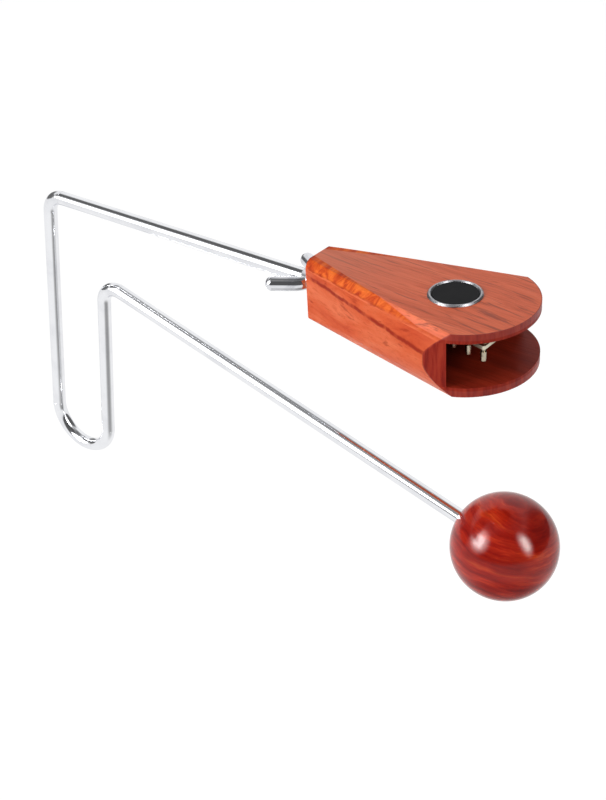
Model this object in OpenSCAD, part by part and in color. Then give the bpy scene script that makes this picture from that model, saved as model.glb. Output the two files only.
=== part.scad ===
// Vibraslap: a bent steel rod with a wooden ball on one end and a hollow
// wooden sound box on the other. A steel plate in the mouth of the box
// carries rows of loose pins, which rattle when the ball is struck.
// +X runs from the handle to the mouth of the sound box and +Z is up.
// The origin is the middle of the handle's rear leg, where a hand holds it.

/* [Rod] */
// Diameter of the spring steel rod
rod_d = 8; // [6:0.25:8.5]
// Straight neck, from the back of the sound box to the rear corner
neck_run = 197; // [160:1:240]
// Height of the handle, from the neck down to the rear leg's foot corner
handle_drop = 183.5; // [160:0.5:240]
// How far the rear leg's foot corner lies behind its top corner
rear_lean = 27.5; // [10:0.5:60]
// Distance along X between the two legs at their foot corners
leg_gap = 46.5; // [40:0.5:60]
// How far the front leg's foot corner lies above the rear leg's
foot_step = 17.5; // [0:0.5:30]
// Height of the front leg, between its foot corner and its top corner
front_leg_rise = 120; // [100:0.5:170]
// How far the front leg's top corner lies in front of its foot corner
front_lean = 16.5; // [5:0.5:40]
// Centre-line radius of the two upper corners
corner_bend_r = 12; // [8:1:24]
// Centre-line radius of the turn at the handle's foot
foot_bend_r = 21; // [12:0.5:24]
// Diameter of the threaded tip inside the sound box
tip_d = 6; // [4:0.25:6]
// Length of the tip that stands out of the nut
tip_out = 2; // [1:0.5:5]

/* [Ball] */
// Diameter of the wooden ball
ball_d = 55; // [45:1:64]
// Height of the ball's centre below the neck
ball_drop = 118.3; // [95:0.1:140]
// How far the ball's centre lies in front of the back of the sound box
ball_reach = 110; // [80:1:130]
// Depth that the rod goes into the ball
ball_bore_depth = 32; // [20:1:40]

/* [Sound box] */
// Length from the back to the foremost point of the mouth
box_l = 120.5; // [105:0.5:140]
// Height of the box
box_h = 32.5; // [28:0.5:38]
// Width of the box at its back
back_w = 22.8; // [21:0.2:32]
// Width of the box where its round front begins
mouth_w = 71; // [66:0.5:84]
// Depth of the round front, from where it begins to its foremost point
mouth_bulge = 34.5; // [26:0.5:36]
// Thickness of the top and bottom boards
board_t = 4.75; // [3.5:0.25:5.5]
// Thickness of the side cheeks
cheek_t = 5; // [3:0.25:5.5]
// Length of the solid block at the back
block_l = 20; // [14:1:28]
// Radius of the cheeks' bulging curve at the mouth
cheek_curve_r = 25; // [20:1:40]
// Rounding of the long top edges at the back
top_round_back = 5.5; // [2:0.5:8]
// Depth of that rounding below the top
top_round_depth = 5.2; // [1:0.1:8]
// Rounding of the long bottom edges at the back
bottom_round_back = 1.5; // [1:0.5:8]
// Depth of that rounding above the underside
bottom_round_depth = 1.4; // [1:0.1:8]
// Length of block between the rod's shoulder and the rattle plate
shoulder_wall = 6; // [3:0.5:9]
// Radial clearance of the rod in the block and in the wing nut
rod_clearance = 0.08; // [0.02:0.01:0.1]

/* [Badge] */
// Outer diameter of the badge's rim
badge_d = 26.4; // [18:0.2:32]
// Distance of the badge's centre from the back of the box
badge_x = 80; // [60:1:90]
// Width of the rim
badge_rim_w = 2.1; // [1:0.1:4]
// Height of the rim over the wood
badge_rim_h = 0.9; // [0.5:0.1:2]
// Height of the disc over the wood
badge_disc_h = 0.5; // [0.2:0.1:1]
// Depth of the badge's seat in the top board
badge_seat = 0.8; // [0.4:0.1:1.5]
// Gap around the rim and the disc
badge_gap = 0.05; // [0.02:0.01:0.2]

/* [Rattle plate] */
// Thickness of the sheet steel plate
plate_t = 1.8; // [1:0.1:2]
// Distance of the plate's front edge from the back of the box
plate_front_x = 109.5; // [95:0.5:112]
// Width of the plate at its front edge
plate_front_w = 43; // [30:1:46]
// Width of the plate and of its tab at the block
plate_back_w = 17; // [16:0.5:22]
// Chamfer of the plate's front corners
plate_chamfer = 1; // [0.5:0.5:4]
// Inside radius of the bend between the tab and the plate
plate_bend_r = 0.8; // [0.4:0.1:1]
// Gap between the nut on the rod's tip and the plate above it
plate_gap = 1; // [0.8:0.1:1.4]
// How far the tab reaches below the rod's axis
tab_drop = 8; // [5:0.5:10]

/* [Rattle pins] */
// Rows of pins along the plate, with one pin on each side
pin_rows = 6; // [3:1:7]
// Distance from row to row
pin_pitch = 9; // [7:0.5:10]
// Distance of the first row from the plate's front edge
pin_edge = 3.5; // [3:0.5:8]
// Distance of the pins from the plate's long edges
pin_inset = 4.5; // [2.8:0.1:6]
// Diameter of a pin's shank
pin_d = 1.8; // [1.2:0.1:2.4]
// Diameter of a pin's head
pin_head_d = 3.8; // [3.6:0.1:5]
// Height of a pin's head
pin_head_h = 1.4; // [0.8:0.1:1.5]
// Diameter of the weight on a pin's lower end
pin_weight_d = 3; // [2.5:0.1:4]
// Height of the weight on a pin's lower end
pin_weight_h = 5; // [2:0.5:7]
// Length of a pin's shank between the plate and its weight
pin_shank_l = 3.8; // [2:0.1:5]
// Radial clearance of a pin in its hole
pin_clearance = 0.4; // [0.2:0.05:0.5]

/* [Fasteners] */
// Outer diameter of the washer behind the block
washer_d = 16; // [12:0.5:18]
// Thickness of the washer behind the block
washer_t = 1.6; // [1:0.1:2.5]
// Width across the flats of the hexagonal nut
nut_af = 10; // [8:0.5:10]
// Height of the hexagonal nut
nut_h = 5; // [3:0.5:7]
// Outer diameter of the lock washer under the hexagonal nut
lock_washer_d = 9.6; // [8.5:0.1:10]
// Thickness of the lock washer
lock_washer_t = 1.4; // [0.8:0.1:2]
// Radial clearance of the washers and of the hexagonal nut
thread_clearance = 0.05; // [0.02:0.01:0.1]
// Diameter of the wing nut's hub at its foot
hub_d = 15; // [13:0.5:18]
// Diameter of the wing nut's hub at its top
hub_top_d = 12; // [11.5:0.5:16]
// Length of the wing nut's hub
hub_l = 7; // [6:0.5:14]
// Diameter of the wings
wing_d = 7.4; // [5:0.2:8]
// Distance from wing tip to wing tip
wing_span = 36; // [34:0.2:46]
// Angle by which the wings sweep back
wing_sweep = 60; // [40:1:70]
// Centre-line radius of the wings' elbows
wing_bend_r = 8; // [6:0.5:9]
// Angle by which the wing nut is turned on the rod
wing_turn = 2; // [0:1:90]

/* [Hidden] */
$fn = 64;

// Cutters reach this far past the faces that they cut.
over = 1;
// Where two round faces blend, one stands this far outside the other.
skin = 0.02;
// A bar reaches this far into a bend.
joint_l = 0.3;
// The cones that round the long edges start this far behind the box,
edge_lead = 4;
// and end this far beyond the cheeks' run.
edge_tail = 60;

PIN_SIDES = ["left", "right"];

function unit(v) = v / norm(v);
function side_sign(side) = side == "left" ? 1 : -1;

// Outline of the sound box
front_x = box_l - mouth_bulge;
front_r = (mouth_bulge * mouth_bulge + mouth_w * mouth_w / 4) / (2 * mouth_bulge);
front_centre_x = box_l - front_r;
flare = (mouth_w - back_w) / 2 / front_x;
flare_angle = atan(flare);
cheek_y = cheek_t / cos(flare_angle);
side_run = norm([front_x, (mouth_w - back_w) / 2]);
function half_w(x) = back_w / 2 + flare * x;
function inner_half_w(x) = half_w(x) - cheek_y;
inner_top = box_h / 2 - board_t;

// Places along the rod's axis, from the shoulder to the end of the tip
shoulder_x = block_l - shoulder_wall;
tab_front_x = block_l + plate_t;
nut_x = tab_front_x + lock_washer_t;
tip_x = nut_x + nut_h + tip_out;

// Place where the wings leave the wing nut's hub
wing_root_x = -washer_t - wing_d / 2 - joint_l;

// Rattle plate: its underside clears the nut on the rod's tip.
plate_z = max(nut_af, lock_washer_d) / 2 + plate_gap;
plate_start_x = tab_front_x + plate_bend_r;
function plate_half_w(x) = plate_back_w / 2
    + (plate_front_w - plate_back_w) / 2 * (x - plate_start_x) / (plate_front_x - plate_start_x);
function row_x(row) = plate_front_x - pin_edge - (row - 1) * pin_pitch;
function pin_y(side, row) = side_sign(side) * (plate_half_w(row_x(row)) - pin_inset);

// Corners of the rod's centre line, as [x, z], from the box round to the ball
rear_corner = [-neck_run, 0];
rear_foot = rear_corner - [rear_lean, handle_drop];
front_foot = rear_foot + [leg_gap, foot_step];
front_corner = front_foot + [front_lean, front_leg_rise];
ball_centre = [ball_reach, -ball_drop];
ball_run = unit(ball_centre - front_corner);
rod_end = ball_centre + ball_run * (ball_bore_depth - ball_d / 2);
rod_path = [[shoulder_x - rod_clearance, 0], rear_corner, rear_foot, front_foot, front_corner, rod_end];

function leg_dir(i) = unit(rod_path[i + 1] - rod_path[i]);
function turn(i) = acos(leg_dir(i - 1) * leg_dir(i));
function reach(i) = tan(turn(i) / 2);
foot_room = 0.98 * norm(front_foot - rear_foot) / (reach(2) + reach(3));
foot_r = min(foot_bend_r, foot_room);
bend_r = [0, corner_bend_r, foot_r, foot_r, corner_bend_r, 0];
function setback(i) = bend_r[i] == 0 ? 0 : bend_r[i] * reach(i);
function bar_start(i) = bend_r[i] == 0 ? 0 : setback(i) - joint_l;
grip = (rear_corner + rear_foot) / 2;

// Puts the origin in the middle of the rear leg.
module in_frame() {
    translate([-grip.x, 0, -grip.y])
        children();
}

// Lays +Z along a direction.
module aim(v) {
    rotate([0, acos(v.z / norm(v)), atan2(v.y, v.x)])
        children();
}

// A straight stretch of the rod between two points of the XZ plane
module bar(from, to) {
    translate([from.x, 0, from.y])
        aim([to.x - from.x, 0, to.y - from.y])
            cylinder(h = norm(to - from), d = rod_d);
}

// The rod's bend at one corner of its path
module bend(i) {
    r = bend_r[i];
    into = leg_dir(i - 1);
    out = leg_dir(i);
    centre = rod_path[i] + unit(out - into) * r / cos(turn(i) / 2);
    left_turn = into.x * out.y - into.y * out.x > 0;
    start = rod_path[i] + (left_turn ? -into : out) * setback(i) - centre;
    translate([centre.x, 0, centre.y])
        rotate([90, 0, 0])
            rotate([0, 0, atan2(start.y, start.x)])
                rotate_extrude(angle = turn(i))
                    translate([r, 0])
                        circle(d = rod_d + 2 * skin);
}

// A round hole or rod along X
module along_x(from, to, d) {
    translate([from, 0, 0])
        rotate([0, 90, 0])
            cylinder(h = to - from, d = d);
}

module bent_rod() {
    color("gainsboro") {
        for (i = [0 : len(rod_path) - 2])
            bar(rod_path[i] + leg_dir(i) * bar_start(i), rod_path[i + 1] - leg_dir(i) * bar_start(i + 1));
        for (i = [1 : len(rod_path) - 2])
            bend(i);
        along_x(shoulder_x - over, tip_x, tip_d);
    }
}

module ball() {
    color("maroon")
        translate([ball_centre.x, 0, ball_centre.y])
            difference() {
                sphere(d = ball_d);
                aim([-ball_run.x, 0, -ball_run.y])
                    translate([0, 0, ball_d / 2 - ball_bore_depth])
                        cylinder(h = ball_bore_depth + over, d = rod_d);
            }
}

// What shaping takes off the long edge that is at the right and at the top.
// A cone touches the side and grows, until the whole cheek is curved at the mouth.
module edge_waste(r_back, depth_back) {
    growth = (cheek_curve_r - r_back) / side_run;
    sink = (box_h / 2 - depth_back) / side_run;
    stretch = norm([1, growth, sink]);
    lean = asin(growth / stretch);
    r_lead = r_back - growth * edge_lead;
    r_tail = cheek_curve_r + growth * edge_tail;
    translate([0, -back_w / 2, box_h / 2])
        rotate([0, 0, -flare_angle])
            difference() {
                intersection() {
                    translate([0, r_back, 0])
                        rotate([0, 0, atan(growth)])
                            translate([-2 * box_l, -4 * box_l, -2 * box_l])
                                cube([6 * box_l, 4 * box_l, 4 * box_l]);
                    translate([0, 0, -depth_back])
                        rotate([0, atan(sink), 0])
                            translate([-2 * box_l, -2 * box_l, 0])
                                cube([6 * box_l, 4 * box_l, 4 * box_l]);
                }
                translate([-edge_lead, r_lead, sink * edge_lead - depth_back])
                    aim([1, growth, -sink])
                        cylinder(
                            h = (side_run + edge_lead + edge_tail) * stretch,
                            r1 = r_lead / cos(lean) + skin,
                            r2 = r_tail / cos(lean) + skin);
            }
}

module long_edges_waste() {
    for (side = [0, 1])
        mirror([0, side, 0]) {
            edge_waste(top_round_back, top_round_depth);
            mirror([0, 0, 1])
                edge_waste(bottom_round_back, bottom_round_depth);
        }
}

// A wedge between two planes that spread like the cheeks, from x0 to x1
module wedge(x0, x1, half_w_0, half_w_1, z0, z1) {
    translate([0, 0, z0])
        linear_extrude(z1 - z0)
            polygon([[x0, -half_w_0], [x1, -half_w_1], [x1, half_w_1], [x0, half_w_0]]);
}

// The box's whole outer shape between two heights
module box_shape(z0, z1) {
    difference() {
        intersection() {
            wedge(0, box_l + over, half_w(0), half_w(box_l + over), z0, z1);
            translate([0, 0, z0 - over])
                union() {
                    translate([-over, -mouth_w, 0])
                        cube([front_centre_x + over, 2 * mouth_w, z1 - z0 + 2 * over]);
                    translate([front_centre_x, 0, 0])
                        cylinder(h = z1 - z0 + 2 * over, r = front_r);
                }
        }
        long_edges_waste();
    }
}

module top_board() {
    color("indianred")
        difference() {
            box_shape(inner_top, box_h / 2);
            translate([badge_x, 0, box_h / 2 - badge_seat])
                cylinder(h = badge_seat + over, d = badge_d + 2 * badge_gap);
        }
}

module bottom_board() {
    color("indianred")
        box_shape(-box_h / 2, -inner_top);
}

module cheek(side) {
    color("chocolate")
        difference() {
            box_shape(-inner_top, inner_top);
            wedge(-over, box_l + over, inner_half_w(-over), inner_half_w(box_l + over), -box_h, box_h);
            translate([-over, side == "left" ? -2 * mouth_w : 0, -box_h])
                cube([box_l + 2 * over, 2 * mouth_w, 2 * box_h]);
        }
}

module end_block() {
    color("peru")
        difference() {
            wedge(0, block_l, inner_half_w(0), inner_half_w(block_l), -inner_top, inner_top);
            along_x(-over, shoulder_x, rod_d + 2 * rod_clearance);
            along_x(-over, block_l + over, tip_d + 2 * rod_clearance);
        }
}

module badge_rim() {
    top = badge_seat + badge_rim_h;
    outer_r = badge_d / 2;
    inner_r = outer_r - badge_rim_w;
    bevel = badge_rim_w / 3;
    color("silver")
        translate([badge_x, 0, box_h / 2 - badge_seat])
            rotate_extrude()
                polygon([
                    [inner_r, 0], [outer_r, 0], [outer_r, top - bevel],
                    [outer_r - bevel, top], [inner_r + bevel, top], [inner_r, top - bevel]]);
}

module badge_disc() {
    color("black")
        translate([badge_x, 0, box_h / 2 - badge_seat])
            cylinder(h = badge_seat + badge_disc_h, r = badge_d / 2 - badge_rim_w - badge_gap);
}

// Profile of the tab, the bend and the plate, seen from the side
module plate_profile() {
    bend_centre = [plate_start_x, plate_z - plate_bend_r];
    bend_outer_r = plate_bend_r + plate_t;
    translate([block_l, -tab_drop])
        square([plate_t, tab_drop + bend_centre.y]);
    translate([plate_start_x, plate_z])
        square([plate_front_x - plate_start_x, plate_t]);
    translate(bend_centre)
        intersection() {
            difference() {
                circle(r = bend_outer_r);
                circle(r = plate_bend_r);
            }
            translate([-bend_outer_r - over, 0])
                square(bend_outer_r + over);
        }
}

module rattle_plate() {
    front_half = plate_front_w / 2;
    color("silver")
        difference() {
            intersection() {
                translate([0, front_half, 0])
                    rotate([90, 0, 0])
                        linear_extrude(plate_front_w)
                            plate_profile();
                translate([0, 0, -box_h / 2])
                    linear_extrude(box_h)
                        polygon([
                            [0, -plate_back_w / 2], [plate_start_x, -plate_back_w / 2],
                            [plate_front_x - plate_chamfer, -plate_half_w(plate_front_x - plate_chamfer)],
                            [plate_front_x + over, -front_half + plate_chamfer + over],
                            [plate_front_x + over, front_half - plate_chamfer - over],
                            [plate_front_x - plate_chamfer, plate_half_w(plate_front_x - plate_chamfer)],
                            [plate_start_x, plate_back_w / 2], [0, plate_back_w / 2]]);
            }
            along_x(block_l - over, tab_front_x + over, tip_d + 2 * rod_clearance);
            for (side = PIN_SIDES)
                for (row = [1 : pin_rows])
                    translate([row_x(row), pin_y(side, row), plate_z - over])
                        cylinder(h = plate_t + 2 * over, d = pin_d + 2 * pin_clearance, $fn = 24);
        }
}

// A pin hangs by its head, with a weight on its lower end.
module rattle_pin(side, row) {
    head_z = plate_z + plate_t;
    neck_z = plate_z - pin_shank_l;
    edge = pin_weight_d / 8;
    color("gainsboro")
        translate([row_x(row), pin_y(side, row), 0])
            rotate_extrude($fn = 24)
                polygon([
                    [0, neck_z - pin_weight_h], [pin_weight_d / 2 - edge, neck_z - pin_weight_h],
                    [pin_weight_d / 2, neck_z - pin_weight_h + edge], [pin_weight_d / 2, neck_z],
                    [pin_d / 2, neck_z], [pin_d / 2, head_z], [pin_head_d / 2, head_z],
                    [pin_head_d / 2, head_z + pin_head_h / 2], [pin_head_d / 4, head_z + pin_head_h],
                    [0, head_z + pin_head_h]]);
}

// A flat ring on the rod's axis
module ring(x, t, outer_d, inner_d) {
    difference() {
        along_x(x, x + t, outer_d);
        along_x(x - over, x + t + over, inner_d);
    }
}

module washer() {
    color("silver")
        ring(-washer_t, washer_t, washer_d, rod_d + 2 * thread_clearance);
}

module lock_washer() {
    color("silver")
        ring(tab_front_x, lock_washer_t, lock_washer_d, tip_d + 2 * thread_clearance);
}

module hex_nut() {
    color("silver")
        difference() {
            translate([nut_x, 0, 0])
                rotate([0, 90, 0])
                    rotate([0, 0, 30])
                        cylinder(h = nut_h, d = nut_af / cos(30), $fn = 6);
            along_x(nut_x - over, nut_x + nut_h + over, tip_d + 2 * thread_clearance);
        }
}

// One wing: an elbow out of the hub, a straight bar and a round end
module wing() {
    root_y = rod_d / 5;
    tip_y = wing_span / 2 - wing_d / 2;
    bar_l = (tip_y - root_y - wing_bend_r * sin(wing_sweep)) / cos(wing_sweep);
    translate([wing_root_x - wing_bend_r, root_y, 0]) {
        rotate_extrude(angle = wing_sweep)
            translate([wing_bend_r, 0])
                circle(d = wing_d + 2 * skin);
        rotate([0, 0, wing_sweep])
            translate([wing_bend_r, -joint_l, 0])
                rotate([-90, 0, 0]) {
                    cylinder(h = bar_l + joint_l, d = wing_d);
                    translate([0, 0, bar_l + joint_l])
                        sphere(d = wing_d + 2 * skin);
                }
    }
}

module wing_nut() {
    bore_start_x = min(-washer_t - hub_l, wing_root_x - wing_bend_r) - over;
    color("gainsboro")
        rotate([wing_turn, 0, 0])
            difference() {
                union() {
                    translate([-washer_t, 0, 0])
                        rotate([0, -90, 0])
                            cylinder(h = hub_l, d1 = hub_d, d2 = hub_top_d);
                    for (side = [0, 1])
                        mirror([0, side, 0])
                            wing();
                }
                along_x(bore_start_x, -washer_t + over, rod_d + 2 * rod_clearance);
            }
}

in_frame() bent_rod();
in_frame() ball();
in_frame() top_board();
in_frame() bottom_board();
in_frame() cheek("left");  // left_cheek
in_frame() cheek("right");  // right_cheek
in_frame() end_block();
in_frame() badge_rim();
in_frame() badge_disc();
in_frame() rattle_plate();
in_frame() washer();
in_frame() lock_washer();
in_frame() hex_nut();
in_frame() wing_nut();
for (side = PIN_SIDES)
    for (row = [1 : pin_rows])
        in_frame() rattle_pin(side, row);
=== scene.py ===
"""Dresses the vibraslap's CAD frame: wood, lacquer, chrome and steel, under soft studio light."""

import math

import bpy
from mathutils import Matrix, Vector

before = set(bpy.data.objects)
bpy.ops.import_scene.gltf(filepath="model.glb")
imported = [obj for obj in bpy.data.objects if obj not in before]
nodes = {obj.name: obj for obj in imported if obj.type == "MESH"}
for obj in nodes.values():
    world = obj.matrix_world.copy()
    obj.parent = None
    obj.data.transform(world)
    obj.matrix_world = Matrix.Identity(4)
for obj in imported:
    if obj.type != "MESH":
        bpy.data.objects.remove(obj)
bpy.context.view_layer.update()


def srgb(r, g, b):
    """A colour given as it looks on screen, 0 to 255, as the linear colour that a socket takes."""

    def linear(value):
        value /= 255
        return value / 12.92 if value <= 0.04045 else ((value + 0.055) / 1.055) ** 2.4

    return (linear(r), linear(g), linear(b), 1)


def grey(level):
    return (level, level, level, 1)


class Graph:
    """A node tree with short ways to add and join nodes."""

    def __init__(self, tree):
        self.tree = tree
        self.tree.nodes.clear()

    def add(self, kind, inputs=None, **settings):
        node = self.tree.nodes.new(kind)
        for key, value in settings.items():
            setattr(node, key, value)
        for key, value in (inputs or {}).items():
            self.put(node.inputs[key], value)
        return node

    def put(self, socket, value):
        if isinstance(value, bpy.types.NodeSocket):
            self.tree.links.new(value, socket)
        else:
            socket.default_value = value

    def math(self, operation, *values):
        node = self.add("ShaderNodeMath", operation=operation)
        for socket, value in zip(node.inputs, values):
            self.put(socket, value)
        return node.outputs[0]

    def vector(self, operation, *values):
        node = self.add("ShaderNodeVectorMath", operation=operation)
        for socket, value in zip(node.inputs, values):
            self.put(socket, value)
        return node.outputs["Value" if operation in ("LENGTH", "DOT_PRODUCT") else "Vector"]

    def join(self, x=0.0, y=0.0, z=0.0):
        return self.add("ShaderNodeCombineXYZ", {"X": x, "Y": y, "Z": z}).outputs[0]

    def axes(self, vector):
        return self.add("ShaderNodeSeparateXYZ", {"Vector": vector}).outputs

    def step(self, value, low, high, to_low=0.0, to_high=1.0):
        """to_low below low, to_high above high, and smooth between them."""
        node = self.add(
            "ShaderNodeMapRange",
            {
                "Value": value,
                "From Min": low,
                "From Max": high,
                "To Min": to_low,
                "To Max": to_high,
            },
            interpolation_type="SMOOTHSTEP",
        )
        return node.outputs["Result"]

    def shade(self, mask, level):
        """1 outside the mask and level inside it."""
        return self.step(mask, 0.0, 1.0, 1, level)

    def both(self, first, *others):
        """The product of masks."""
        for other in others:
            first = self.math("MULTIPLY", first, other)
        return first

    def mix(self, share, a, b, blend="MIX"):
        node = self.add("ShaderNodeMix", data_type="RGBA", blend_type=blend)
        self.put(node.inputs[0], share)
        self.put(node.inputs[6], a)
        self.put(node.inputs[7], b)
        return node.outputs[2]

    def ramp(self, value, *stops):
        node = self.add("ShaderNodeValToRGB", {"Fac": value})
        elements = node.color_ramp.elements
        while len(elements) < len(stops):
            elements.new(0.5)
        for element, (position, colour) in zip(elements, stops):
            element.position = position
            element.color = colour
        return node.outputs["Color"]

    def turned(self, vector, turn):
        return self.add("ShaderNodeMapping", {"Vector": vector, "Rotation": turn}).outputs[0]

    def stretched(self, vector, scale, shift=(0, 0, 0)):
        """Coordinates multiplied per axis, so that noise on them is drawn out."""
        node = self.add(
            "ShaderNodeMapping", {"Vector": vector, "Location": shift, "Scale": scale}
        )
        return node.outputs[0]

    def noise(self, vector, detail=3.0, roughness=0.5, distortion=0.0, scale=1.0):
        node = self.add(
            "ShaderNodeTexNoise",
            {
                "Vector": vector,
                "Scale": scale,
                "Detail": detail,
                "Roughness": roughness,
                "Distortion": distortion,
            },
        )
        return node.outputs["Fac"]

    def bump(self, height, strength, distance):
        node = self.add(
            "ShaderNodeBump",
            {"Height": height, "Strength": strength, "Distance": distance},
        )
        return node.outputs["Normal"]


class Surface(Graph):
    """A material with one Principled shader."""

    def __init__(self, name, **inputs):
        self.material = bpy.data.materials.new(name)
        self.material.use_nodes = True
        super().__init__(self.material.node_tree)
        self.shader = self.add("ShaderNodeBsdfPrincipled")
        self.set(**inputs)
        self.out = self.add("ShaderNodeOutputMaterial")
        self.tree.links.new(self.shader.outputs[0], self.out.inputs["Surface"])
        coordinates = self.add("ShaderNodeTexCoord")
        self.place = coordinates.outputs["Object"]
        self.facing = coordinates.outputs["Normal"]

    def set(self, **inputs):
        for key, value in inputs.items():
            self.put(self.shader.inputs[key.replace("_", " ")], value)


# Lengths in metres, in the row frame
BOX_BACK = (0.21075, 0.0, 0.09175)
BALL_CENTRE = (0.32075, 0.0, -0.02655)
# Lengths from the middle of the box's back
FRONT_CENTRE_X = 0.08499
FRONT_R = 0.03551
INNER_TOP = 0.0115
# The crease between the flat top and the curved side: half its width at the back, and its slope
CREASE_Y = 0.0044
CREASE_SLOPE = 0.327
# Lengths over which one look of the wood goes over into the next
CREASE_BLEND = 0.0004
FLAT_HEIGHTS = (0.0128, 0.0134)
STRIP_HEIGHTS = (0.0115, 0.0135)
CAVITY_HEIGHTS = (INNER_TOP + 0.0002, INNER_TOP + 0.0004)
END_RADII = (FRONT_R - 0.0005, FRONT_R - 0.0002)
END_BLEND = 0.001

# Scales of the box wood's noise, per metre: along the grain first, and then across it
BROAD = (9, 110, 110)
FIBRES = (34, 900, 900)
LINES = (16, 330, 330)
PORES = (260, 3400, 3400)
BANDS = (10, 120, 120)
STREAKS = (26, 520, 520)
CURLS = (52, 52, 130)
SAWN = (500, 500, 60)
WANDER = (14, 60, 60)
WANDER_WIDTH = 0.008
# Turns of the grain in radians: on the flat top, and in the curly strip
FLAT_TURN = 0.09
CURL_TURN = 0.85

# The two dark veins on each side of the box
VEINS = (
    {"middle": 0.0128, "slope": 0.0, "width": 0.0009, "start": 0.001, "end": 0.062},
    {"middle": 0.0086, "slope": -0.058, "width": 0.0015, "start": 0.003, "end": 0.094},
)
VEIN_WAVES = 95
VEIN_WAVE_HEIGHT = 0.0034
VEIN_BREAKS = 160
VEIN_FADE_IN = 0.003
VEIN_FADE_OUT = 0.012


# ---------------------------------------------------------------- wood


def box_grain(s, shift):
    """Coordinates in the box whose lines run along X and wander a little."""
    box = s.vector("SUBTRACT", s.place, BOX_BACK)
    wander = s.noise(s.stretched(box, WANDER, shift), 2)
    drift = s.math("MULTIPLY_ADD", wander, WANDER_WIDTH, -WANDER_WIDTH / 2)
    return box, s.vector("ADD", box, s.join(0.0, drift, drift))


def vein(s, side_z, along, middle, slope, width, start, end):
    """A dark line in the side's grain that waves, thins out in places and fades at both ends."""
    wave = s.noise(s.join(s.math("MULTIPLY", along, VEIN_WAVES)), 3, 0.6)
    wave = s.math("MULTIPLY_ADD", wave, VEIN_WAVE_HEIGHT, -VEIN_WAVE_HEIGHT / 2)
    line = s.math("ADD", s.math("MULTIPLY_ADD", along, slope, middle), wave)
    off = s.math("ABSOLUTE", s.math("SUBTRACT", side_z, line))
    body = s.step(off, width * 0.3, width, 1, 0)
    breaks = s.noise(s.join(s.math("MULTIPLY", along, VEIN_BREAKS), 0.0, 0.7), 2)
    ends = s.both(
        s.step(along, start, start + VEIN_FADE_IN), s.step(along, end - VEIN_FADE_OUT, end, 1, 0)
    )
    return s.both(body, ends, s.step(breaks, 0.3, 0.5, 0.35, 1))


def flat_wood(s, grain, x, fibres, shift):
    """The flat top and bottom, where the grain runs a little askew, with short dark streaks,
    and with a painted sheen that pales them to salmon pink towards the back.
    """
    askew = s.turned(grain, (0, 0, FLAT_TURN))
    bands = s.noise(s.stretched(askew, BANDS, shift), 3, 0.55)
    streaks = s.noise(s.stretched(askew, STREAKS, shift), 3, 0.6)
    wood = s.ramp(
        bands, (0.32, srgb(202, 87, 48)), (0.5, srgb(217, 98, 58)), (0.68, srgb(226, 111, 71))
    )
    wood = s.mix(s.step(fibres, 0.42, 0.72, 0, 0.45), wood, srgb(168, 68, 38))
    wood = s.mix(s.step(streaks, 0.55, 0.68, 0, 0.8), wood, srgb(142, 56, 33))
    # painted sheen: the back of the flat top and bottom is paled towards salmon pink
    return s.mix(s.step(x, 0.0, 0.07, 0.5, 0), wood, srgb(210, 120, 90))


def side_wood(s, grain, broad, fibres, shift, x, z, ny, tilt):
    """The sides, each with two dark veins that run the length of it."""
    lines = s.noise(s.stretched(grain, LINES, shift), 3, 0.6)
    wood = s.ramp(
        broad, (0.3, srgb(190, 66, 32)), (0.47, srgb(210, 91, 50)), (0.68, srgb(222, 112, 72))
    )
    wood = s.mix(s.step(fibres, 0.45, 0.75, 0, 0.4), wood, srgb(174, 52, 24))
    wood = s.mix(s.step(lines, 0.58, 0.7, 0, 0.55), wood, srgb(152, 38, 16))
    wood = s.mix(s.step(x, 0.07, 0.1, 0, 0.3), wood, srgb(226, 112, 72))
    side_z = s.both(z, s.math("MULTIPLY", s.math("SIGN", ny), -1.0))
    veins = s.math("MAXIMUM", *(vein(s, side_z, x, **look) for look in VEINS))
    return s.mix(s.both(veins, s.step(tilt, 0.93, 0.8)), wood, srgb(150, 38, 12))


def curly_wood(s, fibres, shift, x, z):
    """The bright strip beside the flat top, with a figure that curls across the grain."""
    diagonal = s.turned(s.join(x, 0.0, z), (0, CURL_TURN, 0))
    curls = s.noise(s.stretched(diagonal, CURLS, shift), 4, 0.62, distortion=2.2)
    wood = s.ramp(
        curls,
        (0.36, srgb(166, 48, 14)),
        (0.45, srgb(200, 72, 24)),
        (0.54, srgb(222, 98, 32)),
        (0.66, srgb(234, 116, 44)),
    )
    wood = s.mix(s.step(fibres, 0.45, 0.75, 0, 0.25), wood, srgb(184, 58, 20))
    return s.mix(s.step(x, 0.05, 0.09, 0, 0.7), wood, srgb(180, 58, 20))


def end_wood(s, box, shift):
    """The sawn ends of the boards and cheeks round the mouth."""
    sawn = s.noise(s.stretched(box, SAWN, shift), 3, 0.6)
    return s.ramp(
        sawn, (0.36, srgb(122, 24, 16)), (0.5, srgb(144, 38, 24)), (0.66, srgb(158, 50, 32))
    )


def cavity_wood_painted_shade(s, broad, fibres, x):
    """The walls of the cavity, darkened by painted shade that goes nearly black towards the back.
    """
    # painted shade: the cavity walls take darker tones than the wood outside
    wood = s.ramp(broad, (0.35, srgb(122, 32, 18)), (0.6, srgb(152, 46, 28)))
    wood = s.mix(s.step(fibres, 0.45, 0.75, 0, 0.5), wood, srgb(84, 18, 10))
    # painted shade: towards the back of the cavity the walls go nearly black
    return s.mix(s.step(x, 0.1, 0.075, 0, 0.85), wood, srgb(34, 8, 5))


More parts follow.
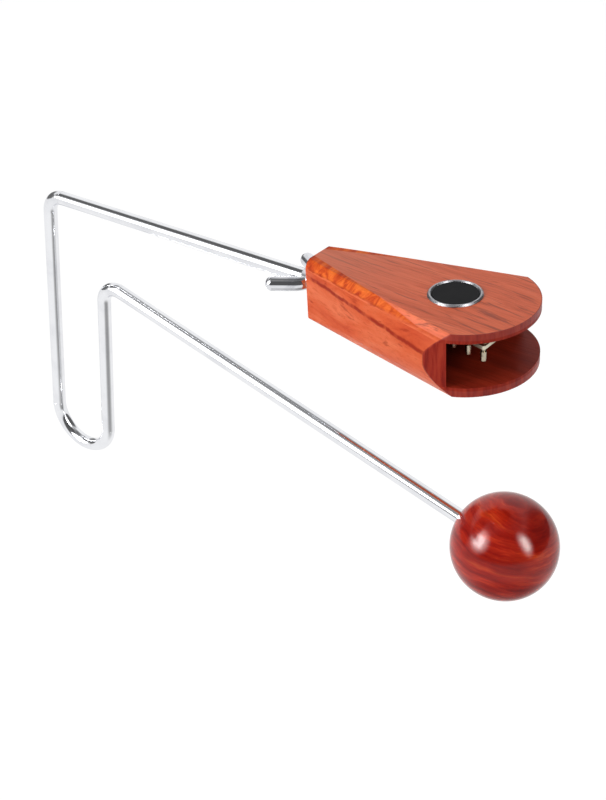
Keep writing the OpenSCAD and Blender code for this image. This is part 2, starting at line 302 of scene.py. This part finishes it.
def box_wood(name, shift):
    """Bubinga-like wood: matte straight grain on the flat top, a livelier figure on the curved
    sides, and darker wood on the ends that surround the mouth. The flat top is paled by a painted
    sheen towards the back, and the walls inside the mouth are darkened by painted shade."""
    s = Surface(name)
    box, grain = box_grain(s, shift)
    x, y, z = s.axes(box)
    _, ny, nz = s.axes(s.facing)
    tilt = s.math("ABSOLUTE", nz)
    height = s.math("ABSOLUTE", z)
    broad = s.noise(s.stretched(grain, BROAD, shift), 3, 0.55)
    fibres = s.noise(s.stretched(grain, FIBRES, shift), 4, 0.65)
    pores = s.noise(s.stretched(box, PORES, shift), 2, 0.5)

    # where each look goes
    crease = s.math("MULTIPLY_ADD", x, CREASE_SLOPE, CREASE_Y)
    crease = s.math("SUBTRACT", crease, s.math("ABSOLUTE", y))
    is_flat = s.both(s.step(crease, 0.0, CREASE_BLEND), s.step(height, *FLAT_HEIGHTS))
    from_centre = s.vector("LENGTH", s.join(s.math("SUBTRACT", x, FRONT_CENTRE_X), y))
    is_end = s.both(
        s.step(from_centre, *END_RADII),
        s.step(x, FRONT_CENTRE_X, FRONT_CENTRE_X + END_BLEND),
    )
    # the inner faces of the cavity, which take its painted shade
    within = s.step(height, *CAVITY_HEIGHTS, 1, 0)
    facing_in = s.both(y, ny, -1.0)
    is_inner_shaded = s.math(
        "MAXIMUM", s.both(s.step(tilt, 0.9, 0.95), within), s.step(facing_in, 0.0005, 0.002)
    )

    side = side_wood(s, grain, broad, fibres, shift, x, z, ny, tilt)
    side = s.mix(s.step(z, *STRIP_HEIGHTS), side, curly_wood(s, fibres, shift, x, z))
    wood = s.mix(is_flat, side, flat_wood(s, grain, x, fibres, shift))
    wood = s.mix(is_end, wood, end_wood(s, box, shift))
    wood = s.mix(is_inner_shaded, wood, cavity_wood_painted_shade(s, broad, fibres, x))
    wood = s.mix(s.step(pores, 0.64, 0.72, 0, 0.3), wood, srgb(110, 40, 26))
    relief = s.math("MULTIPLY_ADD", s.step(pores, 0.62, 0.7), -1.0, fibres)
    s.set(
        Base_Color=wood,
        Roughness=s.step(fibres, 0.3, 0.8, 0.36, 0.5),
        Normal=s.bump(relief, 0.25, 0.0001),
        Specular_IOR_Level=s.step(is_flat, 0.0, 1.0, 0.1, 0.3),
    )
    return s.material


# Turn of the ball's layers in radians, and the scales of its noise per metre, across them last
BALL_TURN = (0.2, -0.1, 0.3)
BALL_LAYERS = (26, 26, 240)
BALL_FINE = (90, 90, 1100)
BALL_CLOUDS = (30, 30, 60)
BALL_WANDER = 0.01


def ball_wood():
    """Turned wood under a deep gloss lacquer, with layers that dip towards the left."""
    s = Surface("ball_lacquered_wood")
    ball = s.turned(s.vector("SUBTRACT", s.place, BALL_CENTRE), BALL_TURN)
    wander = s.noise(s.stretched(ball, BALL_CLOUDS), 3, 0.5)
    wander = s.math("MULTIPLY_ADD", wander, BALL_WANDER, -BALL_WANDER / 2)
    bent = s.vector("ADD", ball, s.join(0.0, 0.0, wander))
    layers = s.noise(s.stretched(bent, BALL_LAYERS), 4, 0.62)
    fine = s.noise(s.stretched(bent, BALL_FINE), 3, 0.6)
    clouds = s.noise(s.stretched(ball, BALL_CLOUDS), 2, 0.5)
    wood = s.ramp(
        layers,
        (0.32, srgb(124, 10, 6)),
        (0.46, srgb(156, 26, 14)),
        (0.57, srgb(182, 44, 22)),
        (0.7, srgb(208, 78, 36)),
    )
    wood = s.mix(s.step(fine, 0.45, 0.7, 0, 0.35), wood, srgb(118, 10, 6))
    wood = s.mix(s.step(clouds, 0.48, 0.7, 0, 0.6), wood, srgb(112, 8, 6))
    s.set(
        Base_Color=wood,
        Roughness=0.45,
        Specular_IOR_Level=0.0,
        Coat_Weight=1.0,
        Coat_Roughness=0.14,
        Coat_IOR=1.36,
        Normal=s.bump(fine, 0.06, 0.00006),
    )
    return s.material


def inner_wood():
    """Bare wood of the block at the back of the cavity."""
    s = Surface("end_block_wood", Specular_IOR_Level=0.2, Roughness=0.6)
    fibres = s.noise(s.stretched(s.place, (40, 1100, 1100)), 4, 0.6)
    tone = s.ramp(fibres, (0.35, srgb(150, 66, 42)), (0.65, srgb(108, 40, 26)))
    s.set(Base_Color=tone, Normal=s.bump(fibres, 0.3, 0.00015))
    return s.material


# ---------------------------------------------------------------- metal


def polished_metal(name, tone, dull, roughness, cloud_scale):
    """Plated or polished metal whose tone and gloss vary a little."""
    s = Surface(name, Metallic=1.0)
    clouds = s.noise(s.place, 3, 0.55, scale=cloud_scale)
    s.set(
        Base_Color=s.mix(s.step(clouds, 0.4, 0.75), srgb(*tone), srgb(*dull)),
        Roughness=s.step(clouds, 0.35, 0.75, *roughness),
    )
    return s.material


def brushed_steel(name, tone, dull):
    """Rolled sheet with fine lines along X."""
    s = Surface(name, Metallic=1.0)
    lines = s.noise(s.stretched(s.place, (60, 4200, 1800)), 3, 0.6)
    clouds = s.noise(s.place, 3, 0.6, scale=90)
    s.set(
        Base_Color=s.mix(s.step(clouds, 0.4, 0.7), tone, dull),
        Roughness=s.step(lines, 0.3, 0.7, 0.24, 0.42),
        Normal=s.bump(lines, 0.3, 0.00004),
    )
    return s.material


def badge_black():
    """Black enamel with a faint orange-peel skin."""
    s = Surface("badge_black_enamel", Specular_IOR_Level=0.05)
    peel = s.noise(s.place, 2, 0.5, scale=900)
    clouds = s.noise(s.place, 3, 0.5, scale=160)
    s.set(
        Base_Color=s.mix(clouds, srgb(7, 7, 10), srgb(17, 17, 21)),
        Roughness=s.step(clouds, 0.3, 0.7, 0.3, 0.4),
        Normal=s.bump(peel, 0.1, 0.00003),
    )
    return s.material


def finish_node(name, material):
    """Puts a material on a CAD node, in place of the ones that it came with."""
    slots = nodes[name].data.materials
    slots.clear()
    slots.append(material)


# Main tone, duller tone, range of roughness, scale of the clouds
POLISHED = {
    "rod_chrome": ((238, 239, 242), (228, 229, 233), (0.1, 0.14), 60),
    "wing_nut_chrome": ((226, 227, 231), (196, 197, 203), (0.1, 0.2), 140),
    "zinc_plate": ((196, 196, 194), (160, 158, 152), (0.24, 0.4), 220),
    "pin_steel": ((186, 176, 156), (150, 138, 118), (0.2, 0.34), 400),
    "badge_rim_metal": ((170, 170, 174), (140, 140, 145), (0.26, 0.38), 300),
}
METAL_OF = {
    "bent_rod": "rod_chrome",
    "wing_nut": "wing_nut_chrome",
    "badge_rim": "badge_rim_metal",
    "washer": "zinc_plate",
    "lock_washer": "zinc_plate",
    "hex_nut": "zinc_plate",
}
METAL_OF.update({name: "pin_steel" for name in nodes if name.startswith("rattle_pin")})

metals = {name: polished_metal(name, *look) for name, look in POLISHED.items()}
for name, metal in METAL_OF.items():
    finish_node(name, metals[metal])
finish_node("ball", ball_wood())
for number, name in enumerate(("top_board", "bottom_board", "left_cheek", "right_cheek")):
    finish_node(name, box_wood(f"{name}_wood", (0.3 * number, 0.2 * number, 0.1 * number)))
finish_node("end_block", inner_wood())
finish_node("badge_disc", badge_black())
finish_node(
    "rattle_plate", brushed_steel("rattle_plate_steel", srgb(216, 208, 186), srgb(178, 168, 146))
)


# ---------------------------------------------------------------- floor

FLOOR_PLACE = (0.15, 0, -0.32)
FLOOR_R = 6.0
# How much of the lit paper the camera sees, under plain white
SHADOW_SHARE = 0.12
# Makes up for the shaded share, so that the paper is white in the picture
FLOOR_WHITE = 1.075
# The paper under the ball looks darker in the metal and the lacquer.
DIM_CENTRE = (0.26, -0.1, 0)
DIM_RADII = (0.1, 0.36)
DIM_LEVEL = 0.3


def floor():
    """A round of pale paper that shows white and keeps the object's soft shadow."""
    bpy.ops.mesh.primitive_circle_add(
        vertices=96, radius=FLOOR_R, fill_type="NGON", location=FLOOR_PLACE
    )
    obj = bpy.context.object
    obj.name = "studio_floor"
    s = Surface("studio_floor_paper", Roughness=0.9)
    mottle = s.noise(s.place, 2, 0.5, scale=3)
    s.set(Base_Color=s.mix(mottle, grey(0.93), grey(0.95)))
    rays = s.add("ShaderNodeLightPath").outputs
    dim = s.vector("LENGTH", s.vector("SUBTRACT", s.place, DIM_CENTRE))
    dim = s.step(dim, *DIM_RADII, DIM_LEVEL, 1)
    strength = s.step(rays["Is Glossy Ray"], 0.0, 1.0, FLOOR_WHITE, dim)
    seen = s.math("MAXIMUM", rays["Is Camera Ray"], rays["Is Glossy Ray"])
    seen = s.math("MAXIMUM", seen, rays["Is Transmission Ray"])
    white = s.add("ShaderNodeEmission", {"Color": grey(1), "Strength": strength})
    blend = s.add("ShaderNodeMixShader", {0: s.math("MULTIPLY", seen, 1 - SHADOW_SHARE)})
    s.tree.links.new(s.shader.outputs[0], blend.inputs[1])
    s.tree.links.new(white.outputs[0], blend.inputs[2])
    s.tree.links.new(blend.outputs[0], s.out.inputs["Surface"])
    obj.data.materials.append(s.material)


floor()


# ---------------------------------------------------------------- light

# White light from all round, with less of it from the far right of the picture
AMBIENT_NEAR = 0.58
AMBIENT_FAR = 0.2
# Level ways in the room: the far right of the picture, and the side behind the camera
FAR_RIGHT = (0.766, 0.643)
BEHIND_CAMERA = (0.646, -0.763)
# The card is a dark band square to this, which the neck mirrors along its length.
CARD_NORMAL = (-0.706, 0.489, -0.512)
# How bright the darker parts of the room are, where white is 1
CEILING_LEVEL = 0.4
ZENITH_LEVEL = 0.35
CARD_LEVEL = 0.12
BEHIND_LEVEL = 0.1
RIGHT_LEVEL = 0.12
LEFT_LEVEL = 0.15
# The soft edges of the two softboxes: way from the ball, stretch per axis and strength
GLOW_RADII = (0.08, 0.47)
GLOWS = (
    ((-0.495, -0.735, 0.466), (1, 1, 1), 20),
    ((0.843, -0.076, 0.532), (1, 1.7, 0.8), 17),
)


def level_part(g, x, y, way):
    """How far a direction points along a level way."""
    return g.math("MULTIPLY_ADD", x, way[0], g.math("MULTIPLY", y, way[1]))


def studio_world():
    """White for the camera. Metal and lacquer see a white room with a grey ceiling, a dark card
    high on the left, and darker sides behind the camera, on the right and on the far left."""
    world = bpy.data.worlds.new("studio")
    bpy.context.scene.world = world
    world.use_nodes = True
    g = Graph(world.node_tree)
    way = g.add("ShaderNodeTexCoord").outputs["Generated"]
    x, y, z = g.axes(way)
    ceiling = g.step(z, 0.78, 0.9, 1, CEILING_LEVEL)
    zenith = g.step(z, 0.93, 0.985, 1, ZENITH_LEVEL)
    card = g.math("ABSOLUTE", g.vector("DOT_PRODUCT", way, CARD_NORMAL))
    card = g.both(g.step(card, 0.3, 0.12), g.step(x, -0.4, -0.52), g.step(z, 0.3, 0.45))
    behind = level_part(g, x, y, BEHIND_CAMERA)
    behind = g.both(g.step(behind, 0.1, 0.6), g.step(z, -0.15, 0.1))
    far_right = level_part(g, x, y, FAR_RIGHT)
    left = g.both(g.step(x, -0.78, -0.9), g.step(z, 0.5, 0.35))
    room = g.both(
        ceiling,
        zenith,
        g.shade(behind, BEHIND_LEVEL),
        g.shade(g.step(far_right, 0.45, 0.8), RIGHT_LEVEL),
        g.shade(left, LEFT_LEVEL),
    )
    for centre, shape, peak in GLOWS:
        off = g.vector("MULTIPLY", g.vector("SUBTRACT", way, centre), shape)
        off = g.vector("LENGTH", off)
        room = g.math("ADD", room, g.step(off, *GLOW_RADII, peak, 0))
    room = g.both(room, g.shade(card, CARD_LEVEL))
    rays = g.add("ShaderNodeLightPath").outputs
    ambient = g.step(far_right, -0.2, 0.8, AMBIENT_NEAR, AMBIENT_FAR)
    for_diffuse = g.add("ShaderNodeBackground", {"Color": grey(1), "Strength": ambient})
    for_glossy = g.add("ShaderNodeBackground", {"Color": grey(1), "Strength": room})
    for_camera = g.add("ShaderNodeBackground", {"Color": grey(1), "Strength": 1.0})
    first = g.add("ShaderNodeMixShader", {0: rays["Is Glossy Ray"]})
    g.tree.links.new(for_diffuse.outputs[0], first.inputs[1])
    g.tree.links.new(for_glossy.outputs[0], first.inputs[2])
    seen = g.math("MAXIMUM", rays["Is Camera Ray"], rays["Is Transmission Ray"])
    second = g.add("ShaderNodeMixShader", {0: seen})
    g.tree.links.new(first.outputs[0], second.inputs[1])
    g.tree.links.new(for_camera.outputs[0], second.inputs[2])
    out = g.add("ShaderNodeOutputWorld")
    g.tree.links.new(second.outputs[0], out.inputs["Surface"])


LAMP_AIM = Vector((0.198, 0, 0.018))
LAMP_DISTANCE = 1.1


def softbox(name, way, width, height, watts, tint=(1, 1, 1)):
    """A rectangular soft lamp that looks at the middle of the object."""
    place = LAMP_AIM + Vector(way).normalized() * LAMP_DISTANCE
    lamp = bpy.data.lights.new(name, "AREA")
    lamp.shape = "RECTANGLE"
    lamp.size = width
    lamp.size_y = height
    lamp.energy = watts
    lamp.color = tint
    obj = bpy.data.objects.new(name, lamp)
    bpy.context.scene.collection.objects.link(obj)
    obj.location = place
    obj.rotation_euler = (LAMP_AIM - place).to_track_quat("-Z", "Y").to_euler()


studio_world()
softbox("softbox_left", (-0.42, -0.79, 0.46), 0.42, 0.46, 6.8)
softbox("softbox_right", (0.89, -0.07, 0.45), 0.19, 0.5, 2.4, tint=(1, 0.93, 0.8))


# ---------------------------------------------------------------- camera

# The photo's height and the fitted focal length, in the photo's pixels
PHOTO_HEIGHT = 800
FOCAL_PIXELS = 1450
SENSOR = 36.0
CLIP_END = 50
CAMERA_PLACE = (0.6172768, -0.49884, 0.4294955)
AZIMUTH, ELEVATION, ROLL = (math.radians(v) for v in (40.289, 32.324, -3.507))


def photo_camera():
    """The camera that the photograph was taken with, as fitted to the outlines."""
    ahead = Vector(
        (
            -math.sin(AZIMUTH) * math.cos(ELEVATION),
            math.cos(AZIMUTH) * math.cos(ELEVATION),
            -math.sin(ELEVATION),
        )
    )
    level = Vector((math.cos(AZIMUTH), math.sin(AZIMUTH), 0))
    up = level.cross(ahead)
    right = math.cos(ROLL) * level + math.sin(ROLL) * up
    top = math.cos(ROLL) * up - math.sin(ROLL) * level
    data = bpy.data.cameras.new("photo_camera")
    data.sensor_width = SENSOR
    data.lens = FOCAL_PIXELS / PHOTO_HEIGHT * SENSOR
    data.clip_end = CLIP_END
    obj = bpy.data.objects.new("photo_camera", data)
    bpy.context.scene.collection.objects.link(obj)
    turn = Matrix((right, top, -ahead)).transposed().to_4x4()
    obj.matrix_world = Matrix.Translation(CAMERA_PLACE) @ turn
    bpy.context.scene.camera = obj


photo_camera()
bpy.context.scene.view_settings.view_transform = "Standard"
